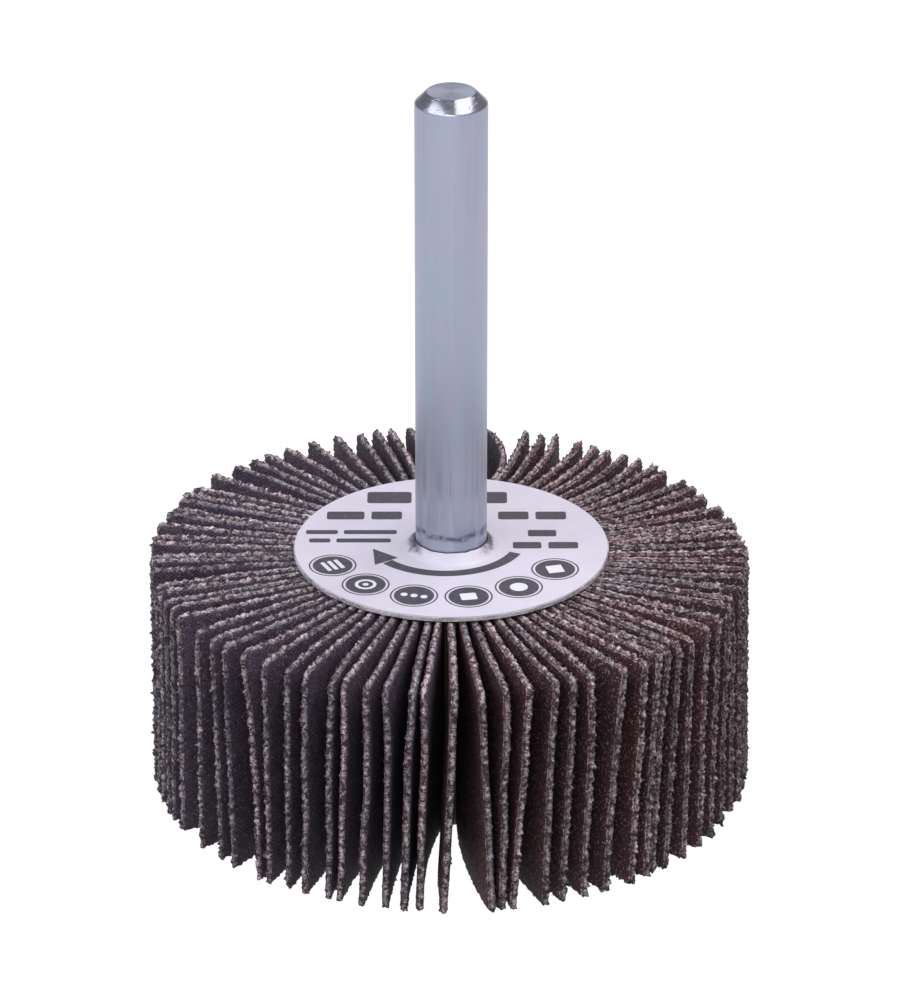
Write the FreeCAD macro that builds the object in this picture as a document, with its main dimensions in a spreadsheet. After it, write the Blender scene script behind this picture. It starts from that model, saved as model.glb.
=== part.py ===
# Mounted flap wheel: 84 abrasive flaps stand round a resin core on a 6 mm shank.
# The origin is the middle of the wheel's lower face, and +Z runs up along the shank.
# Flap number 0 stands near the front, which is -Y, and the numbers run on towards +X.
import FreeCAD, Part
import math
import os
import Sketcher

# Driving sizes: millimetres, but degrees for a turn and a plain ratio for a share
SIZES = [
    ("wheel_radius", 25.0),
    ("flap_count", 84),
    ("flap_height", 20.3),
    ("flap_thickness", 0.65),
    ("head_corner_cut", 0.6),
    ("foot_corner_cut", 0.4),
    ("first_flap_turn", -0.3),
    ("root_depth", 1.2),
    ("resin_web", 0.06),
    ("bond_gap", 0.005),
    ("slow_lean_share", 0.9),
    ("quick_lean_share", 0.28),
    ("twist_share", 0.25),
    ("glue_line", 0.2),
    ("disc_radius", 13.3),
    ("disc_thickness", 0.3),
    ("disc_hole_play", 0.15),
    ("label_margin", 0.1),
    ("label_thickness", 0.1),
    ("label_hole_play", 0.3),
    ("shank_radius", 3.0),
    ("shank_reach", 41.0),
    ("shank_buried_step", 0.2),
    ("shank_tip_chamfer", 1.0),
    ("shank_foot_chamfer", 0.3),
    ("shank_foot_rise", 0.3),
]

FLAPS_PER_NODE = 2

# At the two sides the flaps lean in slow waves: how many, and how far on they start, in radians
LEAN_WAVES = 2
LEAN_START = -0.5

# Neighbours differ by a quick lean and a twist too: angles in radians, and the spread as a share
QUICK_STEP = 1.9
QUICK_START = 0.7
TWIST_STEP = 2.3
TWIST_SPREAD = 0.5

# At the front each flap has its own lean: (lower, upper) shares of the gap between two tips
FRONT_FIRST = -13
FRONT_LEANS = [
    (0.5, 0.4), (1.05, 0.3), (0.9, 0.1), (1.8, 0.95), (1.0, 0.65), (1.05, 0.95), (0.8, 0.85),
    (0.95, 1.05), (0.2, 0.7), (0.2, 0.8), (0.35, 0.55), (0.05, 0.55), (-0.5, 0.05), (-0.4, 0.4),
    (1.3, 0.55), (0.45, 0.75), (-0.3, 0.85), (0.25, 1.0), (0.05, 0.95), (0.05, 0.9), (0.1, 1.5),
    (0.65, 1.8), (0.45, 1.55), (-0.4, 0.7), (-0.8, 0.6), (-0.65, 0.45), (-0.25, 0.6), (-0.2, 0.95),
    (0.3, 1.35),
]

# At the back only the upper ends are given, and the twist sets the lower ones
BACK_FIRST = 25
BACK_LEANS = [
    -0.3, 0.25, 1.0, 0.95, 0.8, 1.15, 0.7, 0.4, 0.45, 0.2, -0.25, -0.45, -0.1, -0.15, -0.6, 0.35,
    0.3, 0.2, 0.1, 0.1, 0.0, -0.5, -0.75, -0.5, -0.2, 0.2, 0.65, 0.4, 0.45, 1.35, 1.8, 1.55,
]

# Places that follow from the driving sizes, written once as expressions
ROOT_PITCH = "(Sizes.flap_thickness + 2 * Sizes.bond_gap + Sizes.resin_web)"
ROOT_RADIUS = f"(Sizes.flap_count * {ROOT_PITCH} / (2 * pi))"
CORE_RADIUS = f"({ROOT_RADIUS} + Sizes.root_depth)"
TIP_GAP = "(2 * pi * Sizes.wheel_radius / Sizes.flap_count - Sizes.flap_thickness)"
CORE_TOP = "(Sizes.flap_height + Sizes.glue_line)"
DISC_TOP = f"({CORE_TOP} + Sizes.disc_thickness)"
LABEL_TOP = f"({DISC_TOP} + Sizes.label_thickness)"
SHANK_TOP = f"({LABEL_TOP} + Sizes.shank_reach)"
BURIED_RADIUS = "(Sizes.shank_radius - Sizes.shank_buried_step)"

ORIGIN = (-1, 1)
X_AXIS = -1
Y_AXIS = -2

document = FreeCAD.newDocument("FlapWheel")


def fill_sheet():
    """Puts the driving sizes into the spreadsheet, one alias to a row."""
    sheet = document.addObject("Spreadsheet::Sheet", "Sizes")
    for row, (alias, number) in enumerate(SIZES, start=1):
        sheet.set(f"A{row}", alias)
        sheet.set(f"B{row}", str(number))
        sheet.setAlias(f"B{row}", alias)
    document.recompute()
    return sheet


def new_body(name):
    """Makes an empty body whose label names it."""
    body = document.addObject("PartDesign::Body", name)
    body.Label = name
    body.Placement = FreeCAD.Placement()
    return body


def new_sketch(body, name, role, raised=None):
    """Makes a sketch on one of the body's own planes, raised by an expression if one is given."""
    plane = next(item for item in body.Origin.OriginFeatures if item.Role == role)
    sketch = body.newObject("Sketcher::SketchObject", name)
    sketch.AttachmentSupport = [(plane, "")]
    sketch.MapMode = "FlatFace"
    if raised is not None:
        sketch.setExpression("AttachmentOffset.Base.z", raised)
    return sketch


def add_outline(sketch, corners):
    """Draws a closed outline through rough corners and joins its ends; bound sizes then place them."""
    first = sketch.GeometryCount
    points = [FreeCAD.Vector(x, y, 0) for x, y in corners]
    ends = points[1:] + points[:1]
    sketch.addGeometry([Part.LineSegment(start, end) for start, end in zip(points, ends)])
    count = len(points)
    for side in range(count):
        following = first + (side + 1) % count
        sketch.addConstraint(Sketcher.Constraint("Coincident", first + side, 2, following, 1))
    return first


def bind(sketch, name, expression, kind, *places):
    """Adds a sized constraint and ties it to an expression of the sheet."""
    present = float(sketch.evalExpression(expression))
    index = sketch.addConstraint(Sketcher.Constraint(kind, *places, present))
    sketch.renameConstraint(index, name)
    sketch.setExpression(f"Constraints.{name}", expression)


def add_circle(sketch, name, radius):
    """Draws a circle round the wheel's axis with its radius tied to an expression."""
    circle = sketch.addGeometry(Part.Circle())
    sketch.addConstraint(Sketcher.Constraint("Coincident", circle, 3, *ORIGIN))
    bind(sketch, name, radius, "Radius", circle)


def pad(body, name, sketch, length):
    """Pads a sketch upwards by an expression."""
    feature = body.newObject("PartDesign::Pad", name)
    feature.Profile = sketch
    feature.setExpression("Length", length)
    return feature


def build_ring(name, outer, inner, lower, thickness):
    """Builds a flat ring round the shank, such as the disc or its label."""
    body = new_body(name)
    sketch = new_sketch(body, f"{name}_rings", "XY_Plane", lower)
    add_circle(sketch, "outer", outer)
    add_circle(sketch, "inner", inner)
    pad(body, f"{name}_pad", sketch, thickness)
    return body


def build_shank():
    """Turns the shank: its plain free end with a chamfered tip, over a thinner end for the resin."""
    body = new_body("shank")
    profile = new_sketch(body, "shank_profile", "XZ_Plane")
    corners = [(0, 1), (2, 1), (2.5, 2), (2.5, 20), (3, 20), (3, 59), (2, 60), (0, 60)]
    foot, foot_bevel, buried_side, shoulder, side, tip_bevel, tip, axis = range(len(corners))
    add_outline(profile, corners)
    for level in (foot, shoulder, tip):
        profile.addConstraint(Sketcher.Constraint("Horizontal", level))
    for upright in (buried_side, side):
        profile.addConstraint(Sketcher.Constraint("Vertical", upright))
    profile.addConstraint(Sketcher.Constraint("PointOnObject", axis, 1, Y_AXIS))
    profile.addConstraint(Sketcher.Constraint("PointOnObject", axis, 2, Y_AXIS))
    bind(profile, "radius", "Sizes.shank_radius", "DistanceX", *ORIGIN, side, 1)
    bind(profile, "buried_radius", BURIED_RADIUS, "DistanceX", *ORIGIN, buried_side, 1)
    bind(profile, "foot_rise", "Sizes.shank_foot_rise", "DistanceY", *ORIGIN, foot, 1)
    bind(profile, "shoulder_height", LABEL_TOP, "DistanceY", *ORIGIN, shoulder, 1)
    bind(profile, "tip_height", SHANK_TOP, "DistanceY", *ORIGIN, tip, 1)
    foot_size = "Sizes.shank_foot_chamfer"
    bind(profile, "foot_in", foot_size, "DistanceX", foot_bevel, 1, foot_bevel, 2)
    bind(profile, "foot_up", foot_size, "DistanceY", foot_bevel, 1, foot_bevel, 2)
    tip_size = "Sizes.shank_tip_chamfer"
    bind(profile, "tip_in", tip_size, "DistanceX", tip_bevel, 2, tip_bevel, 1)
    bind(profile, "tip_up", tip_size, "DistanceY", tip_bevel, 1, tip_bevel, 2)
    turning = body.newObject("PartDesign::Revolution", "shank_turning")
    turning.Profile = profile
    turning.ReferenceAxis = (profile, ["V_Axis"])
    turning.Angle = 360
    return body


def build_core():
    """Builds the resin core: a bored cylinder with one narrow slot for the root of each flap."""
    body = new_body("resin_core")
    rings = new_sketch(body, "core_rings", "XY_Plane")
    add_circle(rings, "rim", CORE_RADIUS)
    add_circle(rings, "bore", f"{BURIED_RADIUS} + Sizes.bond_gap")
    pad(body, "core_casting", rings, CORE_TOP)
    outline = new_sketch(body, "root_slot_outline", "XY_Plane")
    floor, lower, mouth, upper = range(4)
    add_outline(outline, [(10, 0.4), (10, -0.4), (12, -0.4), (12, 0.4)])
    outline.addConstraint(Sketcher.Constraint("Horizontal", lower))
    outline.addConstraint(Sketcher.Constraint("Horizontal", upper))
    outline.addConstraint(Sketcher.Constraint("Vertical", mouth))
    outline.addConstraint(Sketcher.Constraint("Symmetric", floor, 1, floor, 2, X_AXIS))
    width = "Sizes.flap_thickness + 2 * Sizes.bond_gap"
    bind(outline, "width", width, "DistanceY", floor, 2, floor, 1)
    bind(outline, "floor", f"{ROOT_RADIUS} - Sizes.bond_gap", "DistanceX", *ORIGIN, floor, 1)
    past_rim = f"{CORE_RADIUS} + Sizes.root_depth"
    bind(outline, "mouth", past_rim, "DistanceX", *ORIGIN, mouth, 1)
    slot = body.newObject("PartDesign::Pocket", "root_slot")
    slot.Profile = outline
    slot.Type = "ThroughAll"
    slot.Reversed = True
    slots = body.newObject("PartDesign::PolarPattern", "root_slots")
    slots.Originals = [slot]
    slots.Axis = (rings, ["N_Axis"])
    slots.Angle = 360
    slots.setExpression("Occurrences", "Sizes.flap_count")
    body.Tip = slots
    turn_to_flap(body, 0)
    return body


def turn_to_flap(body, number):
    """Turns a body drawn along +X round the axis to the place of one numbered flap."""
    body.setExpression("Placement.Rotation.Axis.z", "1")
    turn = f"Sizes.first_flap_turn - 90 + {number} * 360 / Sizes.flap_count"
    body.setExpression("Placement.Rotation.Angle", turn)


def lean_shares(number, flap_count):
    """Works out how far a flap's tip leans below and above, as shares of the gap at the tips."""
    past_first = (number - FRONT_FIRST) % flap_count
    if past_first < len(FRONT_LEANS):
        return FRONT_LEANS[past_first]
    twist = size("twist_share") * (1 + TWIST_SPREAD * math.sin(TWIST_STEP * number))
    past_back_first = number - BACK_FIRST
    if 0 <= past_back_first < len(BACK_LEANS):
        upper = BACK_LEANS[past_back_first]
    else:
        around = 2 * math.pi * number / flap_count
        slow = size("slow_lean_share") * math.sin(LEAN_WAVES * around + LEAN_START)
        quick = size("quick_lean_share") * math.sin(QUICK_STEP * number * number + QUICK_START)
        upper = slow + quick + twist / 2
    return upper - twist, upper


def flap_outline(body, name, lean_share, raised=None):
    """Draws a flap's cut across: a straight root in its slot, then a run that leans to one side."""
    sketch = new_sketch(body, name, "XY_Plane", raised)
    inner_end, root_left, run_left, outer_end, run_right, root_right = range(6)
    add_outline(sketch, [(10, -0.4), (10, 0.4), (12, 0.4), (25, 0.4), (25, -0.4), (12, -0.4)])
    sketch.addConstraint(Sketcher.Constraint("Symmetric", inner_end, 1, inner_end, 2, X_AXIS))
    sketch.addConstraint(Sketcher.Constraint("Horizontal", root_left))
    sketch.addConstraint(Sketcher.Constraint("Horizontal", root_right))
    sketch.addConstraint(Sketcher.Constraint("Vertical", outer_end))
    thickness = "Sizes.flap_thickness"
    bind(sketch, "inner", ROOT_RADIUS, "DistanceX", *ORIGIN, inner_end, 1)
    bind(sketch, "left_rim", CORE_RADIUS, "DistanceX", *ORIGIN, run_left, 1)
    bind(sketch, "right_rim", CORE_RADIUS, "DistanceX", *ORIGIN, root_right, 1)
    bind(sketch, "reach", "Sizes.wheel_radius", "DistanceX", *ORIGIN, outer_end, 1)
    bind(sketch, "thickness", thickness, "DistanceY", inner_end, 1, inner_end, 2)
    bind(sketch, "tip_thickness", thickness, "DistanceY", outer_end, 2, outer_end, 1)
    lean = f"{thickness} / 2 + ({lean_share:.3f}) * {TIP_GAP}"
    bind(sketch, "lean", lean, "DistanceY", *ORIGIN, outer_end, 1)
    return sketch


def add_corner(sketch, name, level, inward):
    """Draws one of the two triangles, foot and head, that cut the outer corners off a flap."""
    drawn = 0.0 if inward > 0 else 20.0
    along = add_outline(sketch, [(24, drawn), (25, drawn), (25, drawn + inward)])
    beside = along + 1
    sketch.addConstraint(Sketcher.Constraint("Horizontal", along))
    sketch.addConstraint(Sketcher.Constraint("Vertical", beside))
    near, far = (1, 2) if inward > 0 else (2, 1)
    cut = f"Sizes.{name}_corner_cut"
    bind(sketch, f"{name}_reach", "Sizes.wheel_radius", "DistanceX", *ORIGIN, beside, 1)
    bind(sketch, f"{name}_level", level, "DistanceY", *ORIGIN, beside, 1)
    bind(sketch, f"{name}_along", cut, "DistanceX", along, 1, along, 2)
    bind(sketch, f"{name}_beside", cut, "DistanceY", beside, near, beside, far)


def build_flap(number, flap_count):
    """Builds one flap: ruled from its lower to its upper outline, with both outer corners cut."""
    name = f"flap_{number + 1:02d}"
    body = new_body(name)
    lower_share, upper_share = lean_shares(number, flap_count)
    lower = flap_outline(body, f"{name}_lower", lower_share)
    upper = flap_outline(body, f"{name}_upper", upper_share, "Sizes.flap_height")
    cloth = body.newObject("PartDesign::AdditiveLoft", f"{name}_cloth")
    cloth.Profile = lower
    cloth.Sections = [upper]
    cloth.Ruled = True
    triangles = new_sketch(body, f"{name}_corners", "XZ_Plane")
    add_corner(triangles, "foot", "0", 1)
    add_corner(triangles, "head", "Sizes.flap_height", -1)
    corners = body.newObject("PartDesign::Pocket", f"{name}_corner_cuts")
    corners.Profile = triangles
    corners.Type = "ThroughAll"
    corners.Midplane = True
    turn_to_flap(body, number)
    return body


def build_flap_nodes(flap_count):
    """Builds all flaps and groups neighbours, each still a solid of its own."""
    flaps = [build_flap(number, flap_count) for number in range(flap_count)]
    nodes = []
    for first in range(0, flap_count, FLAPS_PER_NODE):
        name = f"flap_pair_{first // FLAPS_PER_NODE + 1:02d}"
        pair = document.addObject("Part::Compound", name)
        pair.Label = name
        pair.Placement = FreeCAD.Placement()
        pair.Links = flaps[first:first + FLAPS_PER_NODE]
        nodes.append(pair)
    return nodes


def check_and_export(nodes):
    """Stops on any failed object or broken shape, and then writes one file for each node."""
    for item in document.Objects:
        if "Invalid" in item.State or "Error" in item.State:
            raise RuntimeError(f"{item.Label} failed to build")
    for node in nodes:
        if node.Shape.isNull() or not node.Shape.isValid() or node.Shape.Volume <= 0:
            raise RuntimeError(f"{node.Label} has no sound shape")
    os.makedirs("parts", exist_ok=True)
    for node in nodes:
        node.Shape.exportStep(f"parts/{node.Label}.step")
    print(f"{len(nodes)} nodes, {sum(len(node.Shape.Solids) for node in nodes)} solids")


sizes = fill_sheet()


def size(alias):
    """Reads a driving size back from the sheet."""
    return float(sizes.get(alias))


shank = build_shank()
resin_core = build_core()
disc_hole = "Sizes.shank_radius + Sizes.disc_hole_play"
top_disc = build_ring("top_disc", "Sizes.disc_radius", disc_hole, CORE_TOP, "Sizes.disc_thickness")
label_edge = "Sizes.disc_radius - Sizes.label_margin"
label_hole = "Sizes.shank_radius + Sizes.label_hole_play"
label = build_ring("label", label_edge, label_hole, DISC_TOP, "Sizes.label_thickness")
flap_nodes = build_flap_nodes(round(size("flap_count")))
document.recompute()
check_and_export([shank, resin_core, top_disc, label] + flap_nodes)
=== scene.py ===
"""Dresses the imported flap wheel: frayed abrasive flaps, a zinc shank, a printed label and a studio."""
import logging
import math
import random
from dataclasses import dataclass
from enum import Enum
from typing import Any, Iterable, Mapping, Optional

import bmesh
import bpy
from bmesh.types import BMesh, BMVert
from mathutils import Matrix, Vector, noise


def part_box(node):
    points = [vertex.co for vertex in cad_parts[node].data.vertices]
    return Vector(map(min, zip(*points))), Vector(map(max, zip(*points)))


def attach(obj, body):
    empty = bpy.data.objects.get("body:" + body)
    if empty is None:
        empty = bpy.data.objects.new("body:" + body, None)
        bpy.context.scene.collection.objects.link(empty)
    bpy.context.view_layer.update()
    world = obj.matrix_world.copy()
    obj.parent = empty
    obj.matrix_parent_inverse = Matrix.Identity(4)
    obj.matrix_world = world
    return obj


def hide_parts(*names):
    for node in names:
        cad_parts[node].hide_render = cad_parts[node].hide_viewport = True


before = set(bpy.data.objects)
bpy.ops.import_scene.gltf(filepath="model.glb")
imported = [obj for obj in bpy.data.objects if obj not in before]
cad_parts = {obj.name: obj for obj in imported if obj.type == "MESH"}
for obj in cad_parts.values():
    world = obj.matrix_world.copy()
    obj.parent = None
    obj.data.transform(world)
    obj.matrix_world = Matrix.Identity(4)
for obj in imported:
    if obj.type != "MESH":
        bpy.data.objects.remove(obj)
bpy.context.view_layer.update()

log = logging.getLogger("flap_wheel")

MM = 0.001
WELD = 0.0005 * MM
BODY = "root"
AXIS = Vector((0.0, 0.0, 1.0))
Colour = tuple[float, float, float]


class Slot(Enum):
    """The record's material slots."""

    STEEL = "shank_steel"
    BOARD = "disc_board"
    PAPER = "label_paper"
    CLOTH = "abrasive_cloth"


class ClothSide(Enum):
    """The surfaces of a flap, numbered as its material slots."""

    CUT_EDGE = 0
    GRAIN = 1
    BACKING = 2


class Mark(Enum):
    """The plain figures that fill the badges on the label."""

    DOT = "dot"
    BARS = "bars"
    SQUARE = "square"
    HOOP = "hoop"
    DIAMOND = "diamond"
    DOTS = "dots"


class NodeBench:
    """A small helper that adds and joins shader nodes in one tree."""

    def __init__(self, tree: bpy.types.NodeTree) -> None:
        """Starts on a tree.

        Args:
            tree: the material's or the group's node tree.
        """
        self.tree = tree

    def add(self, kind: str, **values: Any) -> bpy.types.Node:
        """Adds a node and sets its properties and its unlinked inputs.

        Args:
            kind: the node's type name.
            values: properties by their own name; an input by its name with _ for a space.

        Returns:
            The new node.
        """
        node = self.tree.nodes.new(kind)
        for name, value in values.items():
            if hasattr(node, name):
                setattr(node, name, value)
        for name, value in values.items():
            socket = None if hasattr(node, name) else node.inputs.get(name.replace("_", " "))
            if socket is not None:
                socket.default_value = value
        return node

    def join(self, source: Any, target: Any) -> None:
        """Links an output socket to an input socket."""
        self.tree.links.new(source, target)

    def feed(self, value: Any, socket: Any) -> None:
        """Sets an input to a number or a colour, or links it to a socket."""
        if isinstance(value, tuple):
            socket.default_value = (*value, 1.0)
        elif isinstance(value, (int, float)):
            socket.default_value = value
        else:
            self.join(value, socket)

    def noise(
        self, place: Any, scale: Any, detail: float = 3.0, rough: float = 0.55, twist: float = 0.0
    ) -> Any:
        """Adds a noise texture and gives its value.

        Args:
            place: the socket with the coordinates.
            scale: lumps in a metre, as a number or a socket.
            detail: the number of finer layers.
            rough: how strong the finer layers are.
            twist: how far the lumps are drawn out of shape.

        Returns:
            The value socket, around one half.
        """
        node = self.add("ShaderNodeTexNoise", Detail=detail, Roughness=rough, Distortion=twist)
        self.join(place, node.inputs["Vector"])
        self.feed(scale, node.inputs["Scale"])
        return node.outputs["Fac"]

    def math(self, operation: str, first: Any, second: Any = 0.0) -> Any:
        """Adds a math node on sockets or plain numbers and gives its value."""
        node = self.add("ShaderNodeMath", operation=operation)
        self.feed(first, node.inputs[0])
        self.feed(second, node.inputs[1])
        return node.outputs[0]

    def product(self, first: Any, *others: Any) -> Any:
        """Multiplies value sockets and plain numbers."""
        for value in others:
            first = self.math("MULTIPLY", first, value)
        return first

    def total(self, first: Any, *others: Any) -> Any:
        """Adds value sockets and plain numbers."""
        for value in others:
            first = self.math("ADD", first, value)
        return first

    def band(self, value: Any, low: float, high: float) -> Any:
        """Stretches the part of a value between two limits to the range from 0 to 1."""
        node = self.add("ShaderNodeMapRange", interpolation_type="SMOOTHSTEP")
        node.inputs["From Min"].default_value = low
        node.inputs["From Max"].default_value = high
        self.join(value, node.inputs["Value"])
        return node.outputs["Result"]

    def blend(self, mask: Any, first: Any, second: Any) -> Any:
        """Mixes two colours by a mask.

        Args:
            mask: a socket from 0 to 1.
            first: the colour where the mask is 0, as a socket or three numbers.
            second: the colour where the mask is 1, as a socket or three numbers.

        Returns:
            The colour socket.
        """
        node = self.add("ShaderNodeMix", data_type="RGBA")
        for value, socket in zip((mask, first, second), (node.inputs[0], *node.inputs[6:8])):
            self.feed(value, socket)
        return node.outputs[2]

    def multiply(self, first: Any, second: Any) -> Any:
        """Multiplies two colour sockets."""
        node = self.add("ShaderNodeMix", data_type="RGBA", blend_type="MULTIPLY")
        node.inputs[0].default_value = 1.0
        self.join(first, node.inputs[6])
        self.join(second, node.inputs[7])
        return node.outputs[2]

    def bump(self, height: Any, distance: float) -> Any:
        """Adds a bump node on a height and gives its normal."""
        node = self.add("ShaderNodeBump", Distance=distance, Strength=1.0)
        self.join(height, node.inputs["Height"])
        return node.outputs["Normal"]

    def object_place(self) -> Any:
        """Gives the object coordinates."""
        return self.add("ShaderNodeTexCoord").outputs["Object"]

    def attribute(self, name: str) -> Any:
        """Gives the value of an attribute of the mesh, 0 where it has none."""
        return self.add("ShaderNodeAttribute", attribute_name=name).outputs["Fac"]

    def stretch(self, place: Any, upright: float) -> Any:
        """Scales the height of some coordinates: below 1 a pattern on them is drawn out upright."""
        node = self.add("ShaderNodeMapping")
        node.inputs["Scale"].default_value = (1.0, 1.0, upright)
        self.join(place, node.inputs["Vector"])
        return node.outputs["Vector"]

    def level(self, place: Any, axis: str = "Z") -> Any:
        """Gives one of the coordinates, or the height if none is named."""
        split = self.add("ShaderNodeSeparateXYZ")
        self.join(place, split.inputs[0])
        return split.outputs[axis]

    def reach(self, place: Any) -> Any:
        """Gives how far some coordinates lie from the wheel's axis."""
        flat = self.add("ShaderNodeVectorMath", operation="MULTIPLY")
        flat.inputs[1].default_value = (1.0, 1.0, 0.0)
        self.join(place, flat.inputs[0])
        length = self.add("ShaderNodeVectorMath", operation="LENGTH")
        self.join(flat.outputs[0], length.inputs[0])
        return length.outputs["Value"]

    def group(self, tree: bpy.types.NodeTree, place: Any, **values: float) -> bpy.types.Node:
        """Adds a node group on some coordinates, with its numbers set.

        Args:
            tree: the group.
            place: the coordinates for its Place input.
            values: its other inputs by name, with _ for a space.

        Returns:
            The group node.
        """
        node = self.add("ShaderNodeGroup", node_tree=tree)
        self.join(place, node.inputs["Place"])
        for name, value in values.items():
            node.inputs[name.replace("_", " ")].default_value = value
        return node


def new_group(name: str, inputs: Iterable[str], outputs: dict[str, str]) -> tuple[Any, Any, Any]:
    """Starts a shader node group with a Place vector, number inputs and named outputs.

    Args:
        name: the group's name.
        inputs: its number inputs.
        outputs: each output's name and kind, Color or Float.

    Returns:
        The bench on the group, its input node and its output node.
    """
    tree = bpy.data.node_groups.new(name, "ShaderNodeTree")
    tree.interface.new_socket("Place", in_out="INPUT", socket_type="NodeSocketVector")
    for entry in inputs:
        tree.interface.new_socket(entry, in_out="INPUT", socket_type="NodeSocketFloat")
    for entry, kind in outputs.items():
        tree.interface.new_socket(entry, in_out="OUTPUT", socket_type=f"NodeSocket{kind}")
    bench = NodeBench(tree)
    return bench, bench.add("NodeGroupInput"), bench.add("NodeGroupOutput")


def build_grit_group() -> bpy.types.NodeTree:
    """Builds the group for fine grit: loose specks over a finely pitted ground.

    The tone attribute of a flap shifts the shade of the whole flap; other pieces have none.

    Returns:
        The group, with Grain and Threshold inputs, and Mask, Shade and Height outputs.
    """
    outputs = {"Mask": "Float", "Shade": "Float", "Height": "Float"}
    bench, given, result = new_group("grit", ("Grain", "Threshold"), outputs)
    place, grain = given.outputs["Place"], given.outputs["Grain"]
    fine = bench.noise(place, grain, 2.0, 0.6)
    broad = bench.noise(place, bench.product(grain, 0.13), 3.0, 0.5)
    over = bench.math("SUBTRACT", fine, given.outputs["Threshold"])
    bench.join(bench.band(over, 0.0, 0.08), result.inputs["Mask"])
    bench.join(bench.total(broad, bench.product(bench.attribute("tone"), 0.14)), result.inputs["Shade"])
    bench.join(fine, result.inputs["Height"])
    return bench.tree


def build_yarn_group() -> bpy.types.NodeTree:
    """Builds the group for the cut yarn ends along a flap's edge: light beads with dark pits.

    The tone attribute of a flap makes its ends greyer and duller or pinker and lighter. The crest input
    paints shade across the edge: the beads are lightest where it is 1 and darker where it is 0.

    Returns:
        The group, with Yarn and Crown inputs, and Color and Height outputs.
    """
    outputs = {"Color": "Color", "Height": "Float"}
    bench, given, result = new_group("yarn_ends", ("Yarn", "Crown"), outputs)
    place, yarn = given.outputs["Place"], given.outputs["Yarn"]
    pit, grey_yarn, pink_yarn = (0.050, 0.033, 0.043), (0.70, 0.69, 0.75), (0.93, 0.79, 0.84)
    beads = []
    for times in (1.0, 2.1):
        cells = bench.add("ShaderNodeTexVoronoi", feature="F1")
        bench.join(place, cells.inputs["Vector"])
        bench.join(bench.product(yarn, times), cells.inputs["Scale"])
        beads.append(bench.band(cells.outputs["Distance"], 0.74, 0.16))
    lump = bench.band(bench.noise(place, bench.product(yarn, 0.8), 2.0, 0.65, 0.4), 0.37, 0.60)
    coarse, fine = (bench.product(bead, share) for bead, share in zip(beads, (0.35, 0.45)))
    height = bench.product(lump, bench.total(coarse, fine, 0.2))
    # Painted shade: the crest input keeps the beads light across the middle of the edge and darkens them
    # towards its sides.
    crest_shade = bench.total(bench.product(given.outputs["Crown"], 0.7), 0.3)
    shift = bench.product(bench.attribute("tone"), 0.15)
    aged = bench.total(bench.noise(place, bench.product(yarn, 0.16), 1.0, 0.5), shift)
    worn = bench.blend(bench.band(aged, 0.32, 0.68), grey_yarn, pink_yarn)
    # Light yarn beads over dark pits, dimmed by the painted crest shade and shifted by the flap's tone.
    beads_and_painted_shade = bench.product(height, crest_shade, bench.total(shift, 1.0))
    bench.join(bench.blend(beads_and_painted_shade, pit, worn), result.inputs["Color"])
    bench.join(height, result.inputs["Height"])
    return bench.tree


def start_material(name: str) -> tuple[bpy.types.Material, NodeBench, bpy.types.Node]:
    """Starts a node material.

    Args:
        name: the material's name.

    Returns:
        The material, a bench on its tree and its Principled node.
    """
    material = bpy.data.materials.new(name)
    material.use_nodes = True
    bench = NodeBench(material.node_tree)
    return material, bench, material.node_tree.nodes["Principled BSDF"]


@dataclass(frozen=True)
class CutEdgeFinish:
    """Cloth cut across: light beads of yarn between the red-brown grain and the blue-grey backing."""

    yarns_per_metre: float = 2600.0
    roughness: float = 0.85
    relief: float = 0.14 * MM
    grain_tint: Colour = (0.80, 0.52, 0.54)
    backing_tint: Colour = (0.70, 0.70, 0.80)

    def material(self, yarn: bpy.types.NodeTree) -> bpy.types.Material:
        """Makes the finish.

        Args:
            yarn: the yarn-end group.

        Returns:
            The material.
        """
        material, bench, shader = start_material("cut_cloth_edge")
        across = bench.attribute("across")
        ends = bench.group(yarn, bench.object_place(), Yarn=self.yarns_per_metre)
        # Painted shade: the cut edge is lighter across its middle and darker towards the grain and backing
        # faces.
        bench.join(bench.math("SUBTRACT", 1.0, bench.product(across, across)), ends.inputs["Crown"])
        warm = bench.blend(bench.band(across, 0.1, -1.0), (1.0, 1.0, 1.0), self.grain_tint)
        tint = bench.blend(bench.band(across, 0.5, 1.1), warm, self.backing_tint)
        bench.join(bench.multiply(ends.outputs["Color"], tint), shader.inputs["Base Color"])
        shader.inputs["Roughness"].default_value = self.roughness
        shader.inputs["Specular IOR Level"].default_value = 0.25
        bench.join(bench.bump(ends.outputs["Height"], self.relief), shader.inputs["Normal"])
        return material


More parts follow.
